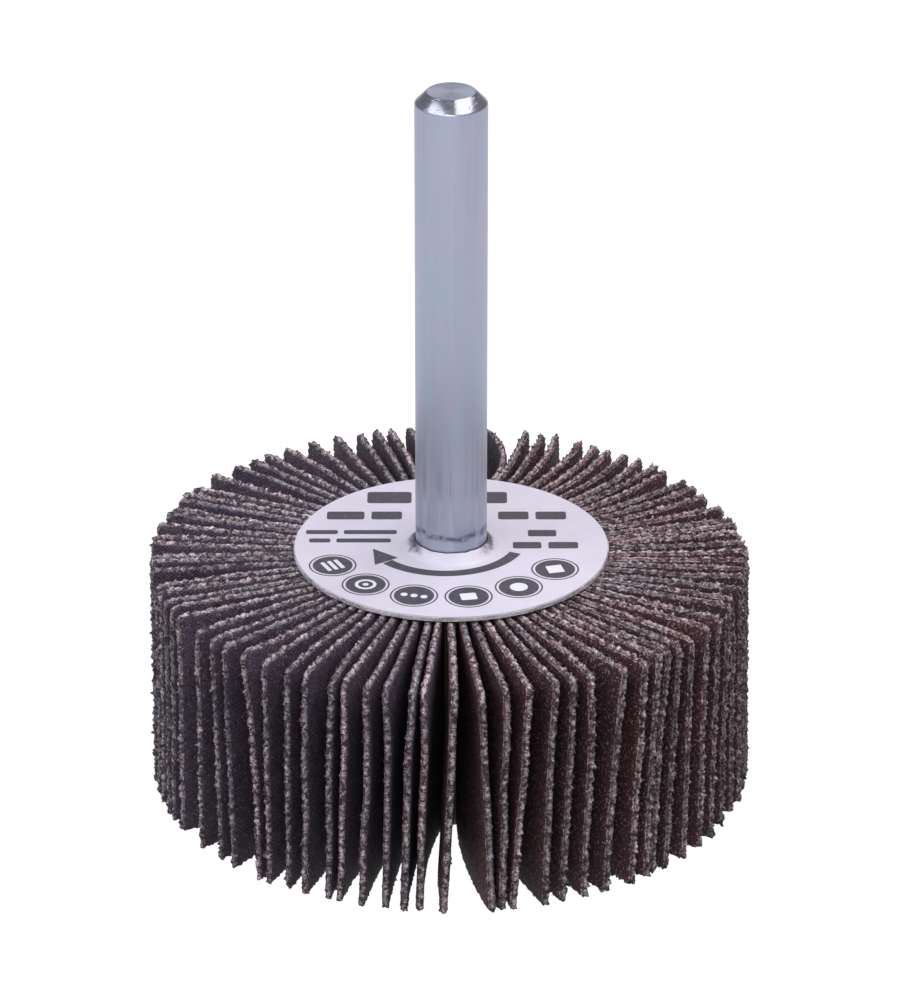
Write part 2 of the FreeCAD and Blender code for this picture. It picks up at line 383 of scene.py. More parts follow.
@dataclass(frozen=True)
class ClothFaceFinish:
    """A flat side of a flap, with grains in its ground and light yarn ends where it frays."""

    name: str
    ground: Colour
    second: Colour
    speck: Colour
    speck_threshold: float
    grains_per_metre: float
    relief: float
    weave_relief: float
    fray_start: float
    pit: Colour = (0.030, 0.017, 0.026)
    yarns_per_metre: float = 2600.0
    roughness: float = 0.72

    def material(self, grit: bpy.types.NodeTree, yarn: bpy.types.NodeTree) -> bpy.types.Material:
        """Makes the finish.

        Args:
            grit: the grit group.
            yarn: the yarn-end group.

        Returns:
            The material.
        """
        material, bench, shader = start_material(self.name)
        place = bench.object_place()
        grains = bench.group(grit, place, Grain=self.grains_per_metre, Threshold=self.speck_threshold)
        # Painted shade: the yarn ends on the faces get one fixed level of the crest shade.
        ends = bench.group(yarn, place, Yarn=self.yarns_per_metre, Crown=0.7)
        rise = grains.outputs["Height"]
        patchy = bench.blend(bench.band(grains.outputs["Shade"], 0.35, 0.65), self.ground, self.second)
        pitted = bench.blend(bench.band(rise, 0.46, 0.34), patchy, self.pit)
        dusted = bench.blend(grains.outputs["Mask"], pitted, self.speck)
        ragged = bench.total(bench.attribute("fray"), bench.product(rise, 0.5))
        frayed = bench.band(ragged, self.fray_start, self.fray_start + 0.25)
        bench.join(bench.blend(frayed, dusted, ends.outputs["Color"]), shader.inputs["Base Color"])
        shader.inputs["Roughness"].default_value = self.roughness
        shader.inputs["Specular IOR Level"].default_value = 0.3
        weave = bench.product(self._weave(bench), self.weave_relief / MM)
        height = bench.total(bench.product(rise, self.relief / MM), weave)
        bench.join(bench.bump(height, MM), shader.inputs["Normal"])
        return material

    @staticmethod
    def _weave(bench: NodeBench) -> Any:
        """Makes the height of a plain weave from the cloth's own coordinates."""
        cloth = bench.add("ShaderNodeUVMap", uv_map="cloth")
        split = bench.add("ShaderNodeSeparateXYZ")
        bench.join(cloth.outputs["UV"], split.inputs[0])
        turns = [bench.product(split.outputs[axis], FlapRing.YARN_TURNS) for axis in ("X", "Y")]
        return bench.product(*(bench.math("SINE", turn) for turn in turns))


@dataclass(frozen=True)
class ZincFinish:
    """Zinc-plated steel: satin, with fine streaks along the shank and turning marks on its end."""

    colour: Colour = (0.455, 0.485, 0.615)
    streaked: Colour = (0.36, 0.39, 0.46)
    # The lighter colour of the lower part of the shank.
    lower_tint: Colour = (0.535, 0.57, 0.655)
    cool_film: Colour = (0.42, 0.50, 0.61)
    warm_film: Colour = (0.50, 0.485, 0.60)
    rubbed: Colour = (0.63, 0.67, 0.73)
    # The colour of a darker, broken ring a little above the label.
    dark_ring: Colour = (0.17, 0.185, 0.24)
    bevel: Colour = (0.33, 0.34, 0.40)
    roughness: float = 0.46
    tip_roughness: float = 0.22
    streaks_per_metre: float = 2200.0
    films_per_metre: float = 330.0
    marks_per_metre: float = 26000.0
    dark_ring_level: float = 22.4 * MM
    relief: float = 0.004 * MM

    def material(self, tip_height: float) -> bpy.types.Material:
        """Makes the finish.

        Args:
            tip_height: the height of the shank's flat end, in metres.

        Returns:
            The material.
        """
        material, bench, shader = start_material("zinc_plate")
        shader.inputs["Metallic"].default_value = 1.0
        place = bench.object_place()
        level, reach = bench.level(place), bench.reach(place)
        streak = bench.noise(bench.stretch(place, 0.03), self.streaks_per_metre, 3.0, 0.6)
        cut = bench.band(level, tip_height - 1.1 * MM, tip_height - 0.9 * MM)
        bevel = bench.product(cut, bench.band(reach, 1.95 * MM, 2.05 * MM))
        sides = self._ringed(bench, self._filmed(bench, place, level, streak), place, level)
        bench.join(bench.blend(bevel, sides, self.bevel), shader.inputs["Base Color"])
        spread = bench.math("SUBTRACT", bench.product(streak, 0.10), 0.05)
        dulled = bench.product(cut, self.tip_roughness - self.roughness)
        bench.join(bench.total(spread, dulled, self.roughness), shader.inputs["Roughness"])
        rings = bench.math("SINE", bench.product(reach, self.marks_per_metre))
        on_tip = bench.band(level, tip_height - 0.2 * MM, tip_height - 0.05 * MM)
        nicks = bench.band(bench.noise(place, 2600.0, 2.0), 0.56, 0.66)
        turned, dented = bench.product(rings, on_tip, 1.6), bench.product(bevel, nicks, 2.0)
        relief = bench.total(turned, bench.product(streak, 0.7), dented)
        bench.join(bench.bump(relief, self.relief), shader.inputs["Normal"])
        return material

    def _filmed(self, bench: NodeBench, place: Any, level: Any, streak: Any) -> Any:
        """Colours the plating: cool and warm films above, streaks and rubbed lines towards the foot.

        Args:
            bench: the bench on the material.
            place: the object coordinates.
            level: the height.
            streak: the noise of the streaks along the shank.

        Returns:
            The colour socket.
        """
        cloud = bench.noise(bench.stretch(place, 0.45), self.films_per_metre, 2.0)
        low = bench.band(level, 36.0 * MM, 24.0 * MM)
        worn = bench.product(bench.band(streak, 0.42, 0.72), bench.total(low, 0.15))
        # The shank is lighter in its lower part, below about 24 to 36 mm.
        tint = bench.blend(worn, bench.blend(low, self.colour, self.lower_tint), self.streaked)
        cool = bench.blend(bench.product(bench.band(cloud, 0.48, 0.66), 0.6), tint, self.cool_film)
        clouded = bench.blend(bench.product(bench.band(cloud, 0.50, 0.34), 0.6), cool, self.warm_film)
        foot = bench.band(level, 27.8 * MM, 25.5 * MM)
        rubbed = bench.product(foot, bench.band(streak, 0.47, 0.60), 0.7)
        return bench.blend(rubbed, clouded, self.rubbed)

    def _ringed(self, bench: NodeBench, colour: Any, place: Any, level: Any) -> Any:
        """Darkens a wandering, broken ring just above the label.

        Args:
            bench: the bench on the material.
            colour: the plating's colour.
            place: the object coordinates.
            level: the height.

        Returns:
            The colour socket.
        """
        wander = bench.product(bench.noise(place, 700.0, 3.0), 1.1 * MM)
        off = bench.math("SUBTRACT", bench.math("SUBTRACT", level, self.dark_ring_level), wander)
        ring = bench.band(bench.math("ABSOLUTE", off), 0.48 * MM, 0.0)
        broken = bench.total(bench.band(bench.noise(place, 1500.0, 2.0), 0.34, 0.56), 0.35)
        return bench.blend(bench.product(ring, broken, 0.72), colour, self.dark_ring)


@dataclass(frozen=True)
class PaperFinish:
    """Coated label paper: cool white, faintly cockled, with painted shade at the left and right of the
    shank's foot.
    """

    white: Colour = (0.615, 0.59, 0.69)
    shaded: Colour = (0.565, 0.545, 0.64)
    foot_shade: Colour = (0.075, 0.07, 0.09)
    roughness: float = 0.42

    def material(self, hole_radius: float) -> bpy.types.Material:
        """Makes the finish.

        Args:
            hole_radius: the radius of the label's hole, in metres.

        Returns:
            The material.
        """
        material, bench, shader = start_material("label_paper")
        place = bench.object_place()
        cloud = bench.band(bench.noise(place, 260.0, 4.0), 0.3, 0.75)
        paper = bench.blend(cloud, self.white, self.shaded)
        # Painted shade: ragged dark patches on the paper round the hole, at the left and right of the
        # shank's foot.
        shade_wobble = bench.product(bench.noise(place, 1100.0, 3.0, 0.6), 1.5 * MM)
        edge = bench.math("SUBTRACT", bench.reach(place), shade_wobble)
        near = bench.band(edge, hole_radius - 0.30 * MM, hole_radius - 0.80 * MM)
        aside = bench.band(bench.math("ABSOLUTE", bench.level(place, "X")), 2.2 * MM, 3.1 * MM)
        bench.join(bench.blend(bench.product(near, aside), paper, self.foot_shade), shader.inputs["Base Color"])
        shader.inputs["Roughness"].default_value = self.roughness
        fibres = bench.noise(place, 5200.0, 2.0)
        bench.join(bench.bump(fibres, 0.006 * MM), shader.inputs["Normal"])
        return material


@dataclass(frozen=True)
class InkFinish:
    """Screen-printed ink, a little uneven."""

    name: str
    colour: Colour
    thin: Colour
    roughness: float = 0.5

    def material(self) -> bpy.types.Material:
        """Makes the finish."""
        material, bench, shader = start_material(self.name)
        place = bench.object_place()
        cover = bench.band(bench.noise(place, 2400.0, 3.0), 0.45, 0.8)
        bench.join(bench.blend(cover, self.colour, self.thin), shader.inputs["Base Color"])
        shader.inputs["Roughness"].default_value = self.roughness
        bench.join(bench.bump(bench.noise(place, 5200.0, 2.0), 0.004 * MM), shader.inputs["Normal"])
        return material


@dataclass(frozen=True)
class BoardFinish:
    """Grey fibre board, seen at its rim."""

    colour: Colour = (0.46, 0.44, 0.47)
    dark: Colour = (0.19, 0.18, 0.20)
    fibre: Colour = (0.70, 0.68, 0.70)

    def material(self, grit: bpy.types.NodeTree) -> bpy.types.Material:
        """Makes the finish.

        Args:
            grit: the grit group.

        Returns:
            The material.
        """
        material, bench, shader = start_material("grey_board")
        place = bench.object_place()
        grains = bench.group(grit, bench.stretch(place, 2.6), Grain=3800.0, Threshold=0.56)
        patchy = bench.blend(bench.band(grains.outputs["Shade"], 0.35, 0.68), self.colour, self.dark)
        bench.join(bench.blend(grains.outputs["Mask"], patchy, self.fibre), shader.inputs["Base Color"])
        shader.inputs["Roughness"].default_value = 0.9
        bench.join(bench.bump(grains.outputs["Height"], 0.06 * MM), shader.inputs["Normal"])
        return material


@dataclass(frozen=True)
class ResinFinish:
    """Cast resin: dark amber brown with filler specks and a dull gloss."""

    colour: Colour = (0.036, 0.022, 0.018)
    pale: Colour = (0.065, 0.045, 0.036)
    speck: Colour = (0.15, 0.12, 0.11)

    def material(self, grit: bpy.types.NodeTree) -> bpy.types.Material:
        """Makes the finish.

        Args:
            grit: the grit group.

        Returns:
            The material.
        """
        material, bench, shader = start_material("cast_resin")
        place = bench.object_place()
        grains = bench.group(grit, place, Grain=2100.0, Threshold=0.62)
        patchy = bench.blend(bench.band(grains.outputs["Shade"], 0.3, 0.7), self.colour, self.pale)
        bench.join(bench.blend(grains.outputs["Mask"], patchy, self.speck), shader.inputs["Base Color"])
        gloss = bench.total(bench.product(grains.outputs["Shade"], 0.4), 0.18)
        bench.join(gloss, shader.inputs["Roughness"])
        bench.join(bench.bump(grains.outputs["Height"], 0.03 * MM), shader.inputs["Normal"])
        return material


def finish_piece(
    name: str, shape: BMesh, materials: list[bpy.types.Material], nodes: Iterable[str] = ()
) -> bpy.types.Object:
    """Turns a bmesh into a piece of the object that rides on the wheel.

    Args:
        name: the piece's name.
        shape: its mesh, in metres; it is freed.
        materials: its materials in slot order.
        nodes: the CAD nodes that it stands for.

    Returns:
        The new object.
    """
    mesh = bpy.data.meshes.new(name)
    shape.to_mesh(mesh)
    shape.free()
    for material in materials:
        mesh.materials.append(material)
    piece = bpy.data.objects.new(name, mesh)
    bpy.context.scene.collection.objects.link(piece)
    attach(piece, BODY)
    if nodes:
        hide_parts(*nodes)
    log.info("%s: %d faces", name, len(mesh.polygons))
    return piece


def turn_on_lathe(
    outline: list[tuple[float, float]], steps: int, cuts: Optional[Mapping[int, int]] = None
) -> BMesh:
    """Spins an outline round the wheel's axis.

    Args:
        outline: its corners as (radius, height) in metres.
        steps: how many facets go round.
        cuts: for a closed ring, how often each numbered side is cut; None leaves the outline open.

    Returns:
        The turned shape, welded and facing outwards.
    """
    lathe = bmesh.new()
    corners = [lathe.verts.new((radius, 0.0, height)) for radius, height in outline]
    ends = corners[1:] if cuts is None else corners[1:] + corners[:1]
    sides = [lathe.edges.new(pair) for pair in zip(corners, ends)]
    for side, count in (cuts or {}).items():
        bmesh.ops.subdivide_edges(lathe, edges=[sides[side]], cuts=count)
    spin_round(lathe, list(lathe.verts) + list(lathe.edges), 2.0 * math.pi, steps)
    return lathe


def spin_round(shape: BMesh, geometry: list[Any], angle: float, steps: int, full: bool = True) -> None:
    """Spins geometry about the wheel's axis and welds what meets.

    Args:
        shape: the bmesh that holds the geometry.
        geometry: its vertices and edges.
        angle: the sweep in radians.
        steps: the number of facets.
        full: whether the last facet closes on the first.
    """
    bmesh.ops.spin(
        shape, geom=geometry, cent=(0.0, 0.0, 0.0), axis=AXIS, angle=angle, steps=steps, use_merge=full
    )
    bmesh.ops.remove_doubles(shape, verts=shape.verts, dist=WELD)
    bmesh.ops.recalc_face_normals(shape, faces=shape.faces)


def ring_edges(shape: BMesh, radius: float, height: float) -> list[bmesh.types.BMEdge]:
    """Finds the edges of a turned shape that run round at one radius and height."""
    def on_ring(vert: BMVert) -> bool:
        """Tells whether a vertex lies on the ring."""
        reach = math.hypot(vert.co.x, vert.co.y)
        return abs(reach - radius) < WELD * 4 and abs(vert.co.z - height) < WELD * 4

    return [edge for edge in shape.edges if all(on_ring(vert) for vert in edge.verts)]


def round_rings(shape: BMesh, rings: Iterable[tuple[float, float]], width: float, segments: int) -> None:
    """Bevels the edges of a turned shape at the given radii and heights.

    Args:
        shape: the turned shape.
        rings: the (radius, height) of each edge ring.
        width: the bevel's width in metres.
        segments: its facets.
    """
    edges = [edge for radius, height in rings for edge in ring_edges(shape, radius, height)]
    bmesh.ops.bevel(
        shape, geom=edges, offset=width, offset_type="OFFSET", segments=segments, profile=0.5,
        affect="EDGES", material=-1, clamp_overlap=True,
    )


def shade_smooth(piece: bpy.types.Object, sharp_angle: float) -> bpy.types.Object:
    """Shades a piece smoothly, apart from the edges sharper than so many degrees."""
    piece.data.polygons.foreach_set("use_smooth", [True] * len(piece.data.polygons))
    piece.data.set_sharp_from_angle(angle=math.radians(sharp_angle))
    return piece


def pull_out(vert: BMVert, step: float) -> None:
    """Moves a vertex away from the wheel's axis by a step, or towards it if that is negative."""
    grown = 1.0 + step / math.hypot(vert.co.x, vert.co.y)
    vert.co.x *= grown
    vert.co.y *= grown


def ease(value: float) -> float:
    """Maps 0 to 1 smoothly onto 0 to 1, and holds what lies outside."""
    held = min(max(value, 0.0), 1.0)
    return held * held * (3.0 - 2.0 * held)


def reach_range(node: str) -> tuple[float, float]:
    """Gives the nearest and the farthest that a CAD node's points lie from the wheel's axis."""
    reaches = [math.hypot(vert.co.x, vert.co.y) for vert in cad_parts[node].data.vertices]
    return min(reaches), max(reaches)


@dataclass(frozen=True)
class FlapSeat:
    """Where one flap stands round the wheel, and how far its tip leans below and above."""

    turn: float
    lower_lean: float
    upper_lean: float


@dataclass(frozen=True)
class FlapManner:
    """What makes one flap differ from the next: its size, worn corners, bow, curl, fray and tone."""

    reach: float
    rise: float
    head_corner: float
    foot_corner: float
    bow: float
    curl: float
    wave: float
    fray: float
    tone: float
    shift: Vector

    @classmethod
    def drawn(cls, draw: random.Random) -> "FlapManner":
        """Draws what is particular to one flap.

        Args:
            draw: the seeded source of chance.

        Returns:
            The flap's manner.
        """
        strong_curl = draw.random() < 0.35
        return cls(
            reach=draw.uniform(0.1, 0.4) * MM,
            rise=draw.uniform(-0.14, 0.10) * MM,
            head_corner=draw.uniform(0.35, 0.95) * MM,
            foot_corner=draw.uniform(0.08, 0.35) * MM,
            bow=draw.uniform(-0.10, 0.10) * MM,
            curl=draw.uniform(-0.65, 0.55) * MM if strong_curl else draw.uniform(-0.15, 0.15) * MM,
            wave=draw.uniform(0.08, 0.20) * MM,
            fray=draw.uniform(0.75, 1.35),
            tone=draw.uniform(-1.0, 1.0),
            shift=Vector((draw.uniform(0, 900), draw.uniform(0, 900), draw.uniform(0, 900))),
        )


@dataclass
class FlapRing:
    """The ring of frayed flaps, made one CAD pair at a time.

    A bow is how far a flap's middle stands to one side of its chord. All feet are bowed a little
    (foot_bow), the flaps round rear_bow_turn more (rear_bow), and one, at sprung_turn, has sprung
    out of line (sprung_bow). Angles are in degrees from +X.
    """

    YARN_TURNS = 2.0 * math.pi * 25.0 / 0.36

    names: list[str]
    root_radius: float
    rim_radius: float
    tip_radius: float
    height: float
    thickness: float
    coarse_cell: float = 1.6 * MM
    refine_reach: tuple[float, ...] = (3.4 * MM, 1.7 * MM, 0.85 * MM)
    fray_depth: float = 0.45 * MM
    lump: float = 0.36 * MM
    edge_swell: float = 0.20 * MM
    edge_rounding: float = 0.13 * MM
    edge_thinning: float = 0.22
    side_swell: float = 0.10 * MM
    nib_reach: float = 0.40 * MM
    head_slope: float = 0.15 * MM
    side_reach: float = 0.06 * MM
    head_shift: float = 0.17 * MM
    foot_reach: float = 0.24 * MM
    foot_bow: float = -0.48 * MM
    rear_bow: float = -0.80 * MM
    rear_bow_turn: float = 62.0
    sprung_bow: float = -1.1 * MM
    sprung_turn: float = 81.1
    bend_power: float = 1.25
    wave_length: float = 5.0 * MM
    curl_length: float = 5.0 * MM
    curl_height: float = 7.0 * MM
    seed: int = 11

    @classmethod
    def from_frame(cls) -> "FlapRing":
        """Reads the ring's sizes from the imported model.

        Returns:
            The ring.
        """
        names = sorted(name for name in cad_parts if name.startswith("flap_pair_"))
        root, tip, thickness = cls._measure_flap(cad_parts[names[0]])
        return cls(names, root, reach_range("resin_core")[1], tip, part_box(names[0])[1].z, thickness)

    @staticmethod
    def _welded(node: bpy.types.Object) -> BMesh:
        """Copies a CAD node's loose triangles into a welded bmesh."""
        shape = bmesh.new()
        shape.from_mesh(node.data)
        bmesh.ops.remove_doubles(shape, verts=shape.verts, dist=WELD)
        return shape

    @staticmethod
    def _islands(shape: BMesh) -> list[list[BMVert]]:
        """Splits a welded bmesh into the vertices of its separate solids."""
        seen: set[BMVert] = set()
        islands = []
        for start in shape.verts:
            if start in seen:
                continue
            island, front = [], [start]
            seen.add(start)
            while front:
                vert = front.pop()
                island.append(vert)
                for edge in vert.link_edges:
                    other = edge.other_vert(vert)
                    if other not in seen:
                        seen.add(other)
                        front.append(other)
            islands.append(island)
        return islands

    @staticmethod
    def _level(island: list[BMVert]) -> tuple[float, list[Vector]]:
        """Turns a flap's points so that its root lies along +X.

        Args:
            island: the flap's vertices.

        Returns:
            The angle that it stood at, and the turned points.
        """
        nearest = min(math.hypot(vert.co.x, vert.co.y) for vert in island)
        inner = [vert.co for vert in island if math.hypot(vert.co.x, vert.co.y) < nearest + 0.05 * MM]
        middle = sum(inner, Vector()) / len(inner)
        turn = math.atan2(middle.y, middle.x)
        upright = Matrix.Rotation(-turn, 3, "Z")
        return turn, [upright @ vert.co for vert in island]

    @classmethod
    def _measure_flap(cls, node: bpy.types.Object) -> tuple[float, float, float]:
        """Measures one flap of a node: the radius of its root and of its tip, and its thickness."""
        shape = cls._welded(node)
        points = cls._level(cls._islands(shape)[0])[1]
        shape.free()
        root, tip = min(point.x for point in points), max(point.x for point in points)
        ends = [point.y for point in points if point.x < root + 0.05 * MM]
        return root, tip, max(ends) - min(ends)

    @staticmethod
    def _middle(values: list[float]) -> float:
        """Gives the middle of the range of some values."""
        return (min(values) + max(values)) / 2.0

    def _seats(self, node: bpy.types.Object) -> list[FlapSeat]:
        """Reads where each flap of a node stands and how it leans.

        Args:
            node: the CAD node, which is only read.

        Returns:
            One seat for each flap, by rising angle.
        """
        shape = self._welded(node)
        seats = []
        for island in self._islands(shape):
            turn, points = self._level(island)
            tips = [point for point in points if point.x > self.tip_radius - 0.02 * MM]
            low, high = min(point.z for point in tips), max(point.z for point in tips)
            low_lean = self._middle([point.y for point in tips if point.z < low + 0.05 * MM])
            high_lean = self._middle([point.y for point in tips if point.z > high - 0.05 * MM])
            slope = (high_lean - low_lean) / (high - low)
            seats.append(FlapSeat(turn, low_lean - slope * low, high_lean + slope * (self.height - high)))
        shape.free()
        return sorted(seats, key=lambda seat: seat.turn)

    def _cut_blank(self) -> BMesh:
        """Cuts one flat blank, finely divided only beside its free edges.

        Returns:
            The blank: x is its radius in the wheel, y its thickness and z its height.
        """
        blank = bmesh.new()
        bmesh.ops.create_cube(blank, size=1.0)
        length = self.tip_radius - self.root_radius
        centre = Vector((self.root_radius + length / 2.0, 0.0, self.height / 2.0))
        bmesh.ops.scale(blank, vec=(length, self.thickness, self.height), verts=blank.verts)
        bmesh.ops.translate(blank, vec=centre, verts=blank.verts)
        for axis, span in ((0, length), (2, self.height)):
            edges = [edge for edge in blank.edges if self._runs_along(edge, axis)]
            cuts = round(span / self.coarse_cell) - 1
            bmesh.ops.subdivide_edges(blank, edges=edges, cuts=cuts, use_grid_fill=True)
        for level, reach in enumerate(self.refine_reach):
            near = [
                edge for edge in blank.edges
                if all(self._border_distance(vert.co) < reach for vert in edge.verts)
                and (level > 0 or not self._runs_along(edge, 1))
            ]
            bmesh.ops.subdivide_edges(blank, edges=near, cuts=1, use_grid_fill=True)
        self._paint_blank(blank)
        return blank

    @staticmethod
    def _runs_along(edge: bmesh.types.BMEdge, axis: int) -> bool:
        """Tells whether an edge runs along one axis."""
        step = edge.verts[0].co - edge.verts[1].co
        return abs(step[axis]) > 0.9 * step.length

    def _border_distance(self, place: Vector) -> float:
        """Gives the distance to the nearest free edge, with the lower one counted double."""
        return min(self.tip_radius - place.x, self.height - place.z, 2.0 * place.z)

    def _paint_blank(self, blank: BMesh) -> None:
        """Gives the blank its cloth sides, its own coordinates and its fray and across weights."""
        cloth = blank.loops.layers.uv.new("cloth")
        fray = blank.verts.layers.float.new("fray")
        across = blank.verts.layers.float.new("across")
        blank.verts.layers.float.new("tone")
        span = 25.0 * MM
        for face in blank.faces:
            facing = face.normal.y
            side = ClothSide.CUT_EDGE
            if abs(facing) > 0.9:
                side = ClothSide.BACKING if facing > 0 else ClothSide.GRAIN
            face.material_index = side.value
            face.smooth = True
            for loop in face.loops:
                place = loop.vert.co
                loop[cloth].uv = (place.x / span, place.z / span)
        for vert in blank.verts:
            depth = min(self.tip_radius - vert.co.x, self.height - vert.co.z, vert.co.z)
            vert[fray] = max(0.0, 1.0 - depth / self.fray_depth)
            vert[across] = 2.0 * vert.co.y / self.thickness

    def _shape_flap(self, flap: BMesh, seat: FlapSeat, manner: FlapManner) -> None:
        """Rounds, frays, leans and turns one blank into its place.

        Args:
            flap: a copy of the blank.
            seat: where it stands and how it leans.
            manner: what is particular to it.
        """
        turn = Matrix.Rotation(seat.turn, 3, "Z")
        free_length = self.tip_radius - self.rim_radius
        rise = manner.rise - self.head_slope * math.cos(seat.turn)
        facing = math.cos(seat.turn - math.radians(self.rear_bow_turn))
        bow = manner.bow + self.rear_bow * ease(2.0 * facing - 1.0)
        if abs(math.degrees(seat.turn) - self.sprung_turn) < 1.0:
            bow += self.sprung_bow
        tone = flap.verts.layers.float["tone"]
        for vert in flap.verts:
            vert[tone] = manner.tone
            x, across, z = vert.co
            run = min(max((x - self.rim_radius) / free_length, 0.0), 1.0)
            x, z, out_x, out_z, depth = self._round_corner(x, z, manner)
            share = z / self.height
            aside = math.cos(seat.turn) * (self.side_reach + self.head_shift * share)
            x += (manner.reach + self.foot_reach * (1.0 - share) ** 2 - aside) * run
            z += rise * run * z / self.height
            near = max(0.0, 1.0 - depth / self.fray_depth) if run > 0.0 else 0.0
            if near > 0.0:
                push, across = self._fray(Vector((x, across, z)), near, run, manner)
                x += out_x * push
                z += out_z * push
            slow = noise.noise(Vector((x, 0.0, z)) / self.wave_length + manner.shift)
            head = ease((x - self.tip_radius + self.curl_length) / self.curl_length)
            head *= ease((z - self.height + self.curl_height) / self.curl_height)
            lean = seat.lower_lean + (seat.upper_lean - seat.lower_lean) * z / self.height
            bowed = bow + self.foot_bow * (1.0 - z / self.height)
            across += lean * run ** self.bend_power + 4.0 * bowed * run * (1.0 - run)
            across += manner.wave * run * slow + manner.curl * head
            vert.co = turn @ Vector((x, across, max(z, 0.0)))

    def _fray(self, place: Vector, near: float, run: float, manner: FlapManner) -> tuple[float, float]:
        """Works out how one point beside a free edge swells, thins and throws out a nib.

        Args:
            place: the point, before it leans.
            near: 1 on the edge, falling to 0 at the fray's depth.
            run: 0 at the resin, 1 at the tip.
            manner: what is particular to the flap.

        Returns:
            The push outwards in the flap's plane, and the new place across it.
        """
        side = 2.0 * place.y / self.thickness
        spot = place / self.lump + manner.shift
        lumps = noise.noise_vector(spot)
        fine = noise.noise(spot * 2.3)
        nib = max(0.0, noise.noise(spot * 1.3 + manner.shift) - 0.20) / 0.80
        worn = near * manner.fray * min(1.0, 0.35 + run)
        swell = self.edge_swell * (lumps.x + 0.8 * fine) + self.nib_reach * nib
        push = worn * swell - near * self.edge_rounding * side * side
        spread = self.side_swell * (lumps.y + 0.6 * fine) + 0.5 * self.nib_reach * nib
        across = place.y * (1.0 - self.edge_thinning * near) + side * worn * spread
        return push, across

    def _round_corner(self, x: float, z: float, manner: FlapManner) -> tuple[float, ...]:
        """Rounds the blank's outer corners.

        Args:
            x: the place along the flap.
            z: the place up the flap.
            manner: holds the two corner radii.

        Returns:
            The new x and z, the outward direction as x and z, and the depth under the border.
        """
        radius = manner.head_corner if z > self.height / 2.0 else manner.foot_corner
        inset = max(radius, self.fray_depth)
        core_x = min(x, self.tip_radius - inset)
        core_z = min(max(z, inset), self.height - inset)
        out_x, out_z = x - core_x, z - core_z
        length, longest = math.hypot(out_x, out_z), max(abs(out_x), abs(out_z))
        if longest <= 0.0:
            return x, z, 0.0, 0.0, inset
        out_x, out_z = out_x / length, out_z / length
        rounded = length + (longest - length) * min(1.0, radius / inset)
        return core_x + out_x * rounded, core_z + out_z * rounded, out_x, out_z, inset - longest

    def build(self, materials: list[bpy.types.Material]) -> list[bpy.types.Object]:
        """Builds every pair of flaps in place of its CAD node.

        Args:
            materials: the finishes of the cut edge, the grain side and the backing.

        Returns:
            The new pieces.
        """
        blank = self._cut_blank()
        log.info("blank: %d faces", len(blank.faces))
        draw = random.Random(self.seed)
        noise.seed_set(self.seed)
        carrier = bpy.data.meshes.new("flap_carrier")
        pieces = []
        for name in self.names:
            pair = bmesh.new()
            for seat in self._seats(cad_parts[name]):
                flap = blank.copy()
                self._shape_flap(flap, seat, FlapManner.drawn(draw))
                flap.to_mesh(carrier)
                flap.free()
                pair.from_mesh(carrier)
            number = name.rsplit("_", 1)[1]
            pieces.append(finish_piece(f"frayed_flaps_{number}", pair, materials, [name]))
        blank.free()
        bpy.data.meshes.remove(carrier)
        return pieces


@dataclass
class Shank:
    """The turned steel shank: a long plain pin with a chamfered tip, over its buried end."""

    radius: float
    buried_radius: float
    shoulder: float
    foot: float
    tip: float
    tip_chamfer: float = 1.0 * MM
    foot_chamfer: float = 0.3 * MM
    tip_rounding: float = 0.12 * MM
    shoulder_rounding: float = 0.05 * MM
    facets: int = 128

    @classmethod
    def from_frame(cls) -> "Shank":
        """Reads the shank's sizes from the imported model."""
        low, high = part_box("shank")
        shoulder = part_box("label")[1].z
        points = [vert.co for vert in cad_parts["shank"].data.vertices]
        at_shoulder = [point for point in points if abs(point.z - shoulder) < 0.05 * MM]
        buried = min(math.hypot(point.x, point.y) for point in at_shoulder)
        return cls(high.x, buried, shoulder, low.z, high.z)

    def build(self, finish: bpy.types.Material) -> bpy.types.Object:
        """Turns the shank and rounds its edges a little.

        Args:
            finish: the zinc material.

        Returns:
            The piece.
        """
        tip_radius = self.radius - self.tip_chamfer
        chamfer_foot = self.tip - self.tip_chamfer
        outline = [
            (0.0, self.foot),
            (self.buried_radius - self.foot_chamfer, self.foot),
            (self.buried_radius, self.foot + self.foot_chamfer),
            (self.buried_radius, self.shoulder),
            (self.radius, self.shoulder),
            (self.radius, chamfer_foot),
            (tip_radius, self.tip),
            (0.0, self.tip),
        ]
        lathe = turn_on_lathe(outline, self.facets)
        round_rings(lathe, [(self.radius, chamfer_foot), (tip_radius, self.tip)], self.tip_rounding, 3)
        round_rings(lathe, [(self.radius, self.shoulder)], self.shoulder_rounding, 2)
        return shade_smooth(finish_piece("zinc_shank", lathe, [finish], ["shank"]), 35.0)


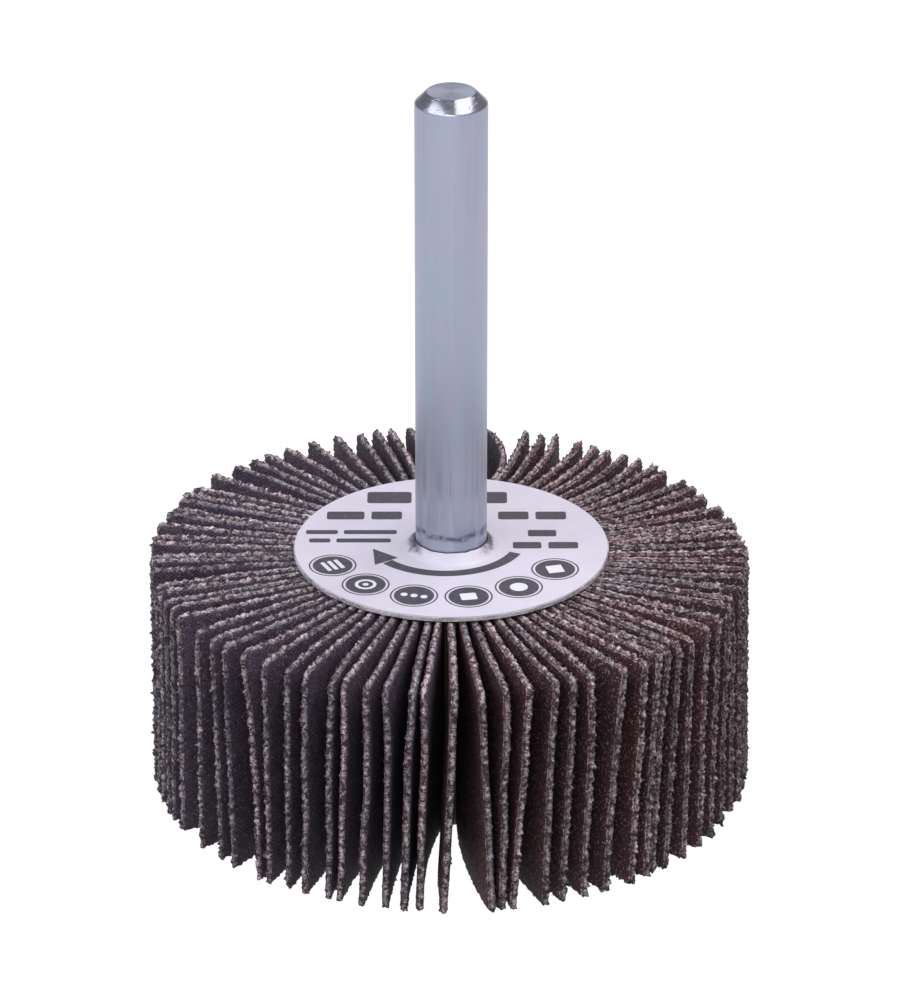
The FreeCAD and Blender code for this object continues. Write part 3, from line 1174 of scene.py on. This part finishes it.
@dataclass
class TopDisc:
    """The fibre-board disc that covers the roots of the flaps."""

    inner: float
    outer: float
    low: float
    high: float
    facets: int = 360
    rim_rows: int = 3
    rim_wear: float = 0.05 * MM
    fibre: float = 0.5 * MM

    @classmethod
    def from_frame(cls) -> "TopDisc":
        """Reads the disc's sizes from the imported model."""
        low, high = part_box("top_disc")
        return cls(reach_range("top_disc")[0], high.x, low.z, high.z)

    def build(self, finish: bpy.types.Material) -> bpy.types.Object:
        """Turns the disc and roughens its rim.

        Args:
            finish: the board material.

        Returns:
            The piece.
        """
        lower = [(self.inner, self.low), (self.outer, self.low)]
        outline = lower + [(self.outer, self.high), (self.inner, self.high)]
        lathe = turn_on_lathe(outline, self.facets, {1: self.rim_rows - 1})
        for vert in lathe.verts:
            if math.hypot(vert.co.x, vert.co.y) > self.outer - 0.05 * MM:
                wear = noise.noise(vert.co / self.fibre) + 0.5 * noise.noise(vert.co / (0.35 * self.fibre))
                pull_out(vert, self.rim_wear * (wear - 0.25))
        return shade_smooth(finish_piece("fibre_disc", lathe, [finish], ["top_disc"]), 50.0)


@dataclass(frozen=True)
class PrintedLine:
    """A row of bars: its middle's y, its depth, its corners' rounding and each bar's ends, in mm."""

    middle: float
    depth: float
    rounding: float
    spans: tuple[tuple[float, float], ...]


@dataclass
class Label:
    """The paper label on the disc, with its printed marks."""

    inner: float
    outer: float
    low: float
    high: float
    facets: int = 240
    rings: int = 24
    collar_rings: int = 14
    collar_width: float = 0.80 * MM
    collar_height: float = 0.72 * MM
    collar_pull: float = 0.22 * MM
    collar_ripple: float = 0.7 * MM
    ink: float = 0.012 * MM

    BADGE_CENTRE = Vector((-0.43 * MM, 0.86 * MM, 0.0))
    BADGE_CIRCLE = 10.56 * MM
    BADGE_FIRST = -63.9
    BADGE_STEP = 24.7
    BADGE_RADIUS = 1.67 * MM
    BADGE_HOOP = (1.87 * MM, 2.0 * MM)
    BADGE_MARKS = (Mark.BARS, Mark.HOOP, Mark.DOTS, Mark.SQUARE, Mark.DOT, Mark.DIAMOND)
    ARROW_CENTRE = Vector((-0.5 * MM, 1.10 * MM, 0.0))
    ARROW_RADIUS = 6.4 * MM
    ARROW_WIDTH = 1.0 * MM
    ARROW_START = -23.3
    ARROW_END = -139.0
    ARROW_HEAD = ((-6.59, -0.67), (-6.38, -3.68), (-4.46, -2.37))
    LINES = (
        PrintedLine(9.2, 2.2, 0.3, ((-7.2, -3.4), (-2.9, 0.4), (0.9, 4.8))),
        PrintedLine(5.7, 1.5, 0.25, ((-10.6, -7.4), (-6.8, -4.2), (4.0, 6.6), (7.2, 9.8))),
        PrintedLine(2.5, 0.75, 0.2, ((-12.3, -9.6), (-9.1, -4.6))),
        PrintedLine(0.9, 0.75, 0.2, ((-12.0, -10.2), (-9.7, -5.1))),
        PrintedLine(2.3, 1.2, 0.2, ((6.5, 8.9),)),
        PrintedLine(0.0, 1.2, 0.2, ((5.2, 7.6), (8.2, 10.7))),
    )

    @classmethod
    def from_frame(cls) -> "Label":
        """Reads the label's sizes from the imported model."""
        low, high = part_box("label")
        return cls(reach_range("label")[0], high.x, low.z, high.z)

    def build_paper(self, finish: bpy.types.Material) -> bpy.types.Object:
        """Turns the paper ring and lifts it into a rough collar round the shank.

        Args:
            finish: the paper material.

        Returns:
            The piece.
        """
        foot = self.inner + self.collar_width
        outline = [
            (self.inner, self.low), (self.outer, self.low), (self.outer, self.high), (foot, self.high),
            (self.inner, self.high),
        ]
        lathe = turn_on_lathe(outline, self.facets, {2: self.rings, 3: self.collar_rings})
        for vert in lathe.verts:
            reach = math.hypot(vert.co.x, vert.co.y)
            if vert.co.z > self.high - WELD and reach < foot:
                near = ease((foot - reach) / self.collar_width)
                ripple = noise.noise(Vector((vert.co.x, vert.co.y, 0.0)) / self.collar_ripple)
                vert.co.z += near * self.collar_height * (1.0 + 0.12 * ripple)
                pull_out(vert, -near * self.collar_pull)
        return shade_smooth(finish_piece("paper_label", lathe, [finish], ["label"]), 40.0)

    def build_print(self, dark: bpy.types.Material, light: bpy.types.Material) -> bpy.types.Object:
        """Lays the printed marks on the paper as thin ink.

        Args:
            dark: the slate ink.
            light: the paper-white ink of the figures in the badges.

        Returns:
            The piece.
        """
        sheet = bmesh.new()
        for count, mark in enumerate(self.BADGE_MARKS):
            angle = math.radians(self.BADGE_FIRST + count * self.BADGE_STEP)
            way = Vector((math.sin(angle), -math.cos(angle), 0.0))
            centre = self.BADGE_CENTRE + self.BADGE_CIRCLE * way
            self._add_badge(sheet, centre, angle, mark)
        self._add_arrow(sheet)
        self._add_lines(sheet)
        bmesh.ops.recalc_face_normals(sheet, faces=sheet.faces)
        return finish_piece("label_print", sheet, [dark, light])

    def _stamp(self, sheet: BMesh, shape: BMesh, place: Matrix, layer: int = 0) -> None:
        """Raises a flat shape by the thickness of the ink and adds it to the sheet.

        Args:
            sheet: the bmesh that gathers the print.
            shape: the flat shape round its own origin; it is freed.
            place: moves it on the label.
            layer: 0 for dark ink on the paper, 1 for light ink on the dark.
        """
        raised = bmesh.ops.extrude_face_region(shape, geom=list(shape.faces))["geom"]
        top = [item for item in raised if isinstance(item, BMVert)]
        bmesh.ops.translate(shape, vec=(0.0, 0.0, self.ink), verts=top)
        base = self.high + layer * self.ink * 0.6
        bmesh.ops.transform(shape, matrix=Matrix.Translation((0.0, 0.0, base)) @ place, verts=shape.verts)
        for face in shape.faces:
            face.material_index = layer
        carrier = bpy.data.meshes.new("stamp")
        shape.to_mesh(carrier)
        shape.free()
        sheet.from_mesh(carrier)
        bpy.data.meshes.remove(carrier)

    @staticmethod
    def _disc(radius: float, corners: int = 48) -> BMesh:
        """Makes a flat disc, or a regular figure with fewer corners."""
        shape = bmesh.new()
        bmesh.ops.create_circle(shape, cap_ends=True, radius=radius, segments=corners)
        return shape

    @staticmethod
    def _hoop(inner: float, outer: float, start: float = 0.0, end: float = 360.0) -> BMesh:
        """Makes a flat ring or a part of one, between two angles in degrees."""
        shape = bmesh.new()
        ends = [shape.verts.new((reach, 0.0, 0.0)) for reach in (inner, outer)]
        line = shape.edges.new(ends)
        begin = Matrix.Rotation(math.radians(start), 3, "Z")
        bmesh.ops.rotate(shape, verts=ends, cent=(0.0, 0.0, 0.0), matrix=begin)
        spin_round(shape, ends + [line], math.radians(end - start), 64, abs(end - start) > 359.0)
        return shape

    @staticmethod
    def _bar(width: float, depth: float, rounding: float) -> BMesh:
        """Makes a flat bar with rounded corners."""
        shape = bmesh.new()
        bmesh.ops.create_grid(shape, x_segments=1, y_segments=1, size=0.5)
        bmesh.ops.scale(shape, vec=(width, depth, 1.0), verts=shape.verts)
        bmesh.ops.bevel(
            shape, geom=list(shape.verts), offset=rounding, offset_type="OFFSET", segments=4, profile=0.5,
            affect="VERTICES", material=-1, clamp_overlap=True,
        )
        return shape

    def _add_badge(self, sheet: BMesh, centre: Vector, angle: float, mark: Mark) -> None:
        """Adds one round badge with a plain light figure in it.

        Args:
            sheet: the bmesh that gathers the print.
            centre: the badge's middle on the label.
            angle: how far it is turned from the front, in radians.
            mark: the figure in it.
        """
        place = Matrix.Translation(centre) @ Matrix.Rotation(angle, 4, "Z")
        self._stamp(sheet, self._disc(self.BADGE_RADIUS), place)
        self._stamp(sheet, self._hoop(*self.BADGE_HOOP), place)
        for figure, shift in self._figures(mark):
            self._stamp(sheet, figure, place @ Matrix.Translation(shift), 1)

    def _figures(self, mark: Mark) -> list[tuple[BMesh, Vector]]:
        """Makes the flat shapes of one figure, each with its shift from the badge's middle."""
        if mark is Mark.DOT:
            return [(self._disc(0.75 * MM, 32), Vector())]
        if mark is Mark.HOOP:
            return [(self._hoop(0.62 * MM, 0.9 * MM), Vector()), (self._disc(0.25 * MM, 24), Vector())]
        if mark is Mark.SQUARE:
            return [(self._bar(1.35 * MM, 1.2 * MM, 0.15 * MM), Vector())]
        if mark is Mark.DIAMOND:
            return [(self._disc(0.95 * MM, 4), Vector())]
        if mark is Mark.BARS:
            rows = [Vector((0.0, y * MM, 0.0)) for y in (-0.6, 0.0, 0.6)]
            return [(self._bar(1.7 * MM, 0.36 * MM, 0.1 * MM), row) for row in rows]
        columns = [Vector((x * MM, 0.0, 0.0)) for x in (-0.85, 0.0, 0.85)]
        return [(self._disc(0.3 * MM, 24), column) for column in columns]

    def _add_arrow(self, sheet: BMesh) -> None:
        """Adds the curved arrow that shows which way the wheel turns."""
        place = Matrix.Translation(self.ARROW_CENTRE)
        half = self.ARROW_WIDTH / 2.0
        inner, outer = self.ARROW_RADIUS - half, self.ARROW_RADIUS + half
        self._stamp(sheet, self._hoop(inner, outer, self.ARROW_START, self.ARROW_END), place)
        head = bmesh.new()
        corners = [head.verts.new((x * MM, y * MM, 0.0)) for x, y in self.ARROW_HEAD]
        head.faces.new(corners)
        self._stamp(sheet, head, Matrix.Identity(4))

    def _add_lines(self, sheet: BMesh) -> None:
        """Adds plain bars where the label carries lines of small print."""
        for line in self.LINES:
            for left, right in line.spans:
                bar = self._bar((right - left) * MM, line.depth * MM, line.rounding * MM)
                place = Matrix.Translation(((left + right) / 2.0 * MM, line.middle * MM, 0.0))
                self._stamp(sheet, bar, place)


@dataclass(frozen=True)
class Softbox:
    """A soft light: its turn from the front and its height in degrees, its metres, watts and tint."""

    azimuth: float
    elevation: float
    distance: float
    width: float
    height: float
    power: float
    tint: Colour = (1.0, 1.0, 1.0)
    mirrored_only: bool = False


@dataclass
class Studio:
    """The pale floor, the soft lights and the camera at the photograph's angle."""

    SOFTBOXES = {
        "left_softbox": Softbox(-52.0, 45.0, 0.6, 0.74, 0.36, 2.2, (0.965, 0.98, 1.0)),
        "right_softbox": Softbox(93.0, 63.0, 0.6, 0.80, 0.36, 3.0, (1.0, 0.935, 0.945)),
        "front_fill": Softbox(0.0, 30.0, 0.7, 0.30, 0.30, 1.05),
        "back_panel": Softbox(180.0, 27.0, 0.8, 0.60, 0.36, 0.28, mirrored_only=True),
    }
    FOCAL_PIXELS = 5092.291
    FRAME_HEIGHT = 1000.0
    FRAME_MIDDLE = 450.0
    OBJECT_MIDDLE = 451.18
    SENSOR = 36.0

    distance: float = 427.536 * MM
    elevation: float = 0.452
    target_height: float = 25.141 * MM
    sky: Colour = (0.95, 0.95, 1.0)
    sky_strength: float = 0.36
    paper: Colour = (0.08, 0.08, 0.083)
    shown_glow: float = 1.0
    mirrored_glow: float = 0.80

    def build(self) -> None:
        """Sets up everything round the object."""
        self._add_floor()
        self._add_sky()
        for name, box in self.SOFTBOXES.items():
            self._add_softbox(name, box)
        self._add_camera()
        bpy.context.scene.view_settings.view_transform = "Standard"
        bpy.context.scene.view_settings.look = "None"

    def _add_floor(self) -> None:
        """Lays the floor: grey paper for its bounced light, but white to the camera and in mirrors."""
        shape = bmesh.new()
        bmesh.ops.create_grid(shape, x_segments=1, y_segments=1, size=3.0)
        mesh = bpy.data.meshes.new("studio_floor")
        shape.to_mesh(mesh)
        shape.free()
        floor = bpy.data.objects.new("studio_floor", mesh)
        bpy.context.scene.collection.objects.link(floor)
        material, bench, shader = start_material("studio_paper")
        material.cycles.emission_sampling = "NONE"
        shader.inputs["Base Color"].default_value = (*self.paper, 1.0)
        shader.inputs["Roughness"].default_value = 0.9
        shader.inputs["Specular IOR Level"].default_value = 0.0
        shader.inputs["Emission Color"].default_value = (1.0, 1.0, 1.0, 1.0)
        path = bench.add("ShaderNodeLightPath")
        shown = bench.math("MULTIPLY", path.outputs["Is Camera Ray"], self.shown_glow)
        mirrored = bench.math("MULTIPLY", path.outputs["Is Glossy Ray"], self.mirrored_glow)
        bench.join(bench.math("ADD", shown, mirrored), shader.inputs["Emission Strength"])
        mesh.materials.append(material)

    def _add_sky(self) -> None:
        """Surrounds the object with even pale light, which looks white to the camera."""
        world = bpy.data.worlds.new("light_tent")
        world.use_nodes = True
        bench = NodeBench(world.node_tree)
        back = world.node_tree.nodes["Background"]
        seen = bench.add("ShaderNodeLightPath").outputs["Is Camera Ray"]
        bench.join(bench.blend(seen, self.sky, (1.0, 1.0, 1.0)), back.inputs["Color"])
        shown = bench.math("MULTIPLY", seen, 1.0 - self.sky_strength)
        bench.join(bench.math("ADD", shown, self.sky_strength), back.inputs["Strength"])
        bpy.context.scene.world = world

    def _add_softbox(self, name: str, box: Softbox) -> None:
        """Hangs a softbox that points at the wheel.

        Args:
            name: its name.
            box: its place, size and power.
        """
        light = bpy.data.lights.new(name, "AREA")
        light.shape = "RECTANGLE"
        light.size = box.width
        light.size_y = box.height
        light.energy = box.power
        light.color = box.tint
        lamp = bpy.data.objects.new(name, light)
        bpy.context.scene.collection.objects.link(lamp)
        lamp.visible_diffuse = not box.mirrored_only
        around, up = math.radians(box.azimuth), math.radians(box.elevation)
        way = Vector((math.sin(around) * math.cos(up), -math.cos(around) * math.cos(up), math.sin(up)))
        lamp.location = Vector((0.0, 0.0, self.target_height)) + box.distance * way
        lamp.rotation_euler = way.to_track_quat("Z", "Y").to_euler()

    def _add_camera(self) -> None:
        """Stands the camera where the photograph was taken from."""
        lens = bpy.data.cameras.new("photo_camera")
        lens.sensor_width = self.SENSOR
        lens.lens = self.SENSOR * self.FOCAL_PIXELS / self.FRAME_HEIGHT
        lens.clip_start = 0.01
        camera = bpy.data.objects.new("photo_camera", lens)
        bpy.context.scene.collection.objects.link(camera)
        aside = (self.OBJECT_MIDDLE - self.FRAME_MIDDLE) * self.distance / self.FOCAL_PIXELS
        back = self.distance * math.cos(self.elevation)
        raised = self.target_height + self.distance * math.sin(self.elevation)
        camera.location = (-aside, -back, raised)
        camera.rotation_euler = (math.pi / 2.0 - self.elevation, 0.0, 0.0)
        bpy.context.scene.camera = camera


GRAIN_SIDE = ClothFaceFinish(
    name="grain_side",
    ground=(0.034, 0.017, 0.020),
    second=(0.064, 0.023, 0.026),
    speck=(0.29, 0.17, 0.18),
    speck_threshold=0.57,
    grains_per_metre=4600.0,
    relief=0.10 * MM,
    weave_relief=0.0,
    fray_start=0.80,
)
BACKING_SIDE = ClothFaceFinish(
    name="cloth_backing",
    ground=(0.056, 0.041, 0.068),
    second=(0.084, 0.066, 0.094),
    speck=(0.30, 0.26, 0.32),
    speck_threshold=0.62,
    grains_per_metre=4800.0,
    relief=0.05 * MM,
    weave_relief=0.03 * MM,
    fray_start=0.95,
)
SLATE_INK = InkFinish("slate_ink", (0.050, 0.045, 0.066), (0.085, 0.08, 0.10))
WHITE_INK = InkFinish("white_ink", (0.70, 0.69, 0.76), (0.62, 0.61, 0.68))


def main() -> None:
    """Builds and dresses the wheel."""
    logging.basicConfig(level=logging.INFO, format="%(name)s: %(message)s")
    grit, yarn = build_grit_group(), build_yarn_group()
    faces = [face.material(grit, yarn) for face in (GRAIN_SIDE, BACKING_SIDE)]
    FlapRing.from_frame().build([CutEdgeFinish().material(yarn), *faces])
    shank = Shank.from_frame()
    shank.build(ZincFinish().material(shank.tip))
    TopDisc.from_frame().build(BoardFinish().material(grit))
    label = Label.from_frame()
    label.build_paper(PaperFinish().material(label.inner))
    label.build_print(SLATE_INK.material(), WHITE_INK.material())
    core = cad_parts["resin_core"]
    core.data.materials.clear()
    core.data.materials.append(ResinFinish().material(grit))
    Studio().build()


if __name__ == "__main__":
    main()
